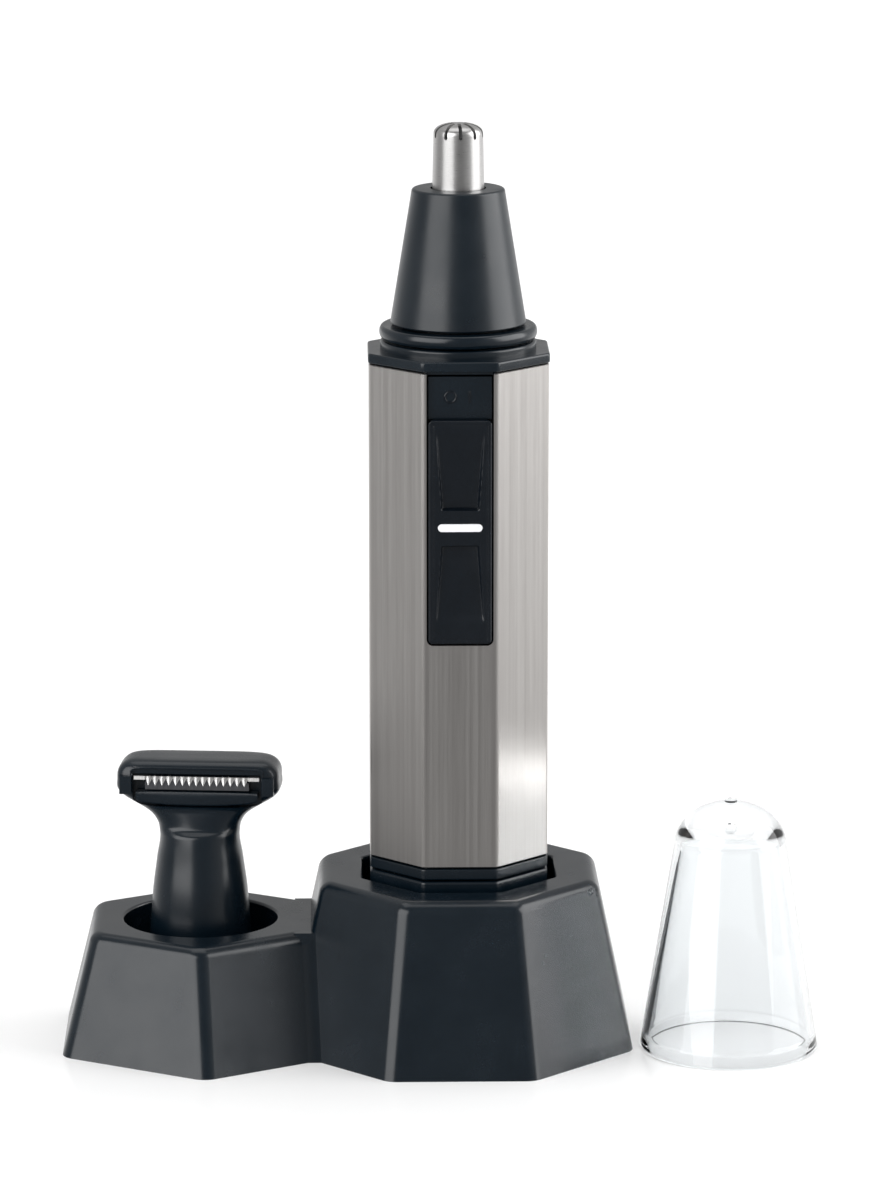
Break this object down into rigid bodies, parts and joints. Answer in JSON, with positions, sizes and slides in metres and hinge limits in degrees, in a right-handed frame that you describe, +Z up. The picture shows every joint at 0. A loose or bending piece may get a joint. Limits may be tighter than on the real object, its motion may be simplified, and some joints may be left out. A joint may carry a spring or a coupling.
{
  "type": "nose hair trimmer",
  "caption": "Battery nose hair trimmer with an octagonal steel handle and a slide switch, standing in a two-lobed stand that holds a spare T-blade head, with a clear cap beside it.",
  "frame": {"origin": "centre of the handle's axis on the plane of the stand's underside", "axes": "+Z up along the handle, -Y out of the front with the switch, +X from the spare head towards the clear cap"},
  "size_m": [0.1196, 0.055, 0.1464],
  "materials": {
    "gloss_black": "gloss moulded ABS",
    "matt_black": "matt moulded ABS",
    "brushed_steel": "brushed lengthways",
    "bright_steel": "ground and polished steel",
    "brass": "stamped",
    "copper": "enamelled copper winding",
    "ferrite": "sintered ferrite",
    "rubber": "moulded",
    "cell_jacket": "shrink jacket",
    "white_inlay": "moulded",
    "clear_plastic": "clear moulded polystyrene"
  },
  "bodies": {
    "stand": {"stand_shell": "gloss_black", "stand_base_plate": "gloss_black", "stand_screw_1": "bright_steel", "stand_screw_2": "bright_steel", "stand_screw_3": "bright_steel", "stand_screw_4": "bright_steel"},
    "handle": {"steel_sleeve": "brushed_steel", "top_collar": "gloss_black", "neck_ring": "gloss_black", "bottom_ring": "gloss_black", "switch_track_panel": "gloss_black", "chassis_front": "matt_black", "chassis_rear": "matt_black", "chassis_screw_left": "bright_steel", "chassis_screw_right": "bright_steel", "motor_can": "bright_steel", "motor_end_cap": "matt_black", "motor_magnet_left": "ferrite", "motor_magnet_right": "ferrite", "motor_terminal_left": "brass", "motor_terminal_right": "brass", "motor_cushion": "rubber", "battery_cell": "cell_jacket", "positive_contact": "brass", "negative_strip": "brass", "switch_contact_lower": "brass", "switch_contact_upper": "brass"},
    "bottom_cap": {"battery_cap": "gloss_black", "battery_spring_plate": "bright_steel", "battery_spring": "bright_steel"},
    "switch": {"switch_button": "gloss_black", "button_index_bar": "white_inlay", "switch_bridge": "brass"},
    "motor": {"motor_armature": "copper", "drive_coupler": "matt_black"},
    "nose_head": {"head_cone": "gloss_black", "head_base_insert": "gloss_black", "blade_tube": "bright_steel"},
    "rotor": {"rotor_shaft": "matt_black", "rotor_blade": "bright_steel", "rotor_spring": "bright_steel"},
    "spare_head": {"spare_head_shell": "gloss_black", "spare_base_insert": "gloss_black", "trim_comb": "bright_steel", "trim_jaw_bar": "gloss_black"},
    "spare_blade": {"trim_blade": "bright_steel", "trim_carrier": "matt_black"},
    "spare_shaft": {"trim_shaft": "bright_steel"},
    "cover": {"clear_cap": "clear_plastic"}
  },
  "joints": [
    {"name": "handle_lift", "type": "slide", "parent": "stand", "child": "handle", "axis": [0, 0, 1], "range_m": [0, 0.04]},
    {"name": "switch_slide", "type": "slide", "parent": "handle", "child": "switch", "axis": [0, 0, 1], "range_m": [0, 0.004]},
    {"name": "battery_cap_twist", "type": "hinge", "parent": "handle", "child": "bottom_cap", "pos_m": [0, 0, 0.02], "axis": [0, 0, 1], "range_deg": [0, 30]},
    {"name": "head_twist", "type": "hinge", "parent": "handle", "child": "nose_head", "pos_m": [0, 0, 0.115], "axis": [0, 0, 1], "range_deg": [0, 40]},
    {"name": "motor_spin", "type": "hinge", "parent": "handle", "child": "motor", "pos_m": [0, 0, 0.085], "axis": [0, 0, 1], "continuous": true},
    {"name": "rotor_spin", "type": "hinge", "parent": "nose_head", "child": "rotor", "pos_m": [0, 0, 0.125], "axis": [0, 0, 1], "continuous": true},
    {"name": "spare_head_lift", "type": "slide", "parent": "stand", "child": "spare_head", "axis": [0, 0, 1], "range_m": [0, 0.03]},
    {"name": "spare_shaft_spin", "type": "hinge", "parent": "spare_head", "child": "spare_shaft", "pos_m": [-0.041, 0, 0.02], "axis": [0, 0, 1], "continuous": true},
    {"name": "spare_blade_slide", "type": "slide", "parent": "spare_head", "child": "spare_blade", "axis": [0.9954, -0.0958, 0], "range_m": [-0.0007, 0.0007]},
    {"name": "clear_cap_lift", "type": "slide", "parent": "stand", "child": "cover", "axis": [0, 0, 1], "range_m": [0, 0.05]}
  ],
  "couplings": [
    {"joint": "rotor_spin", "follows": "motor_spin", "ratio": 1}
  ]
}
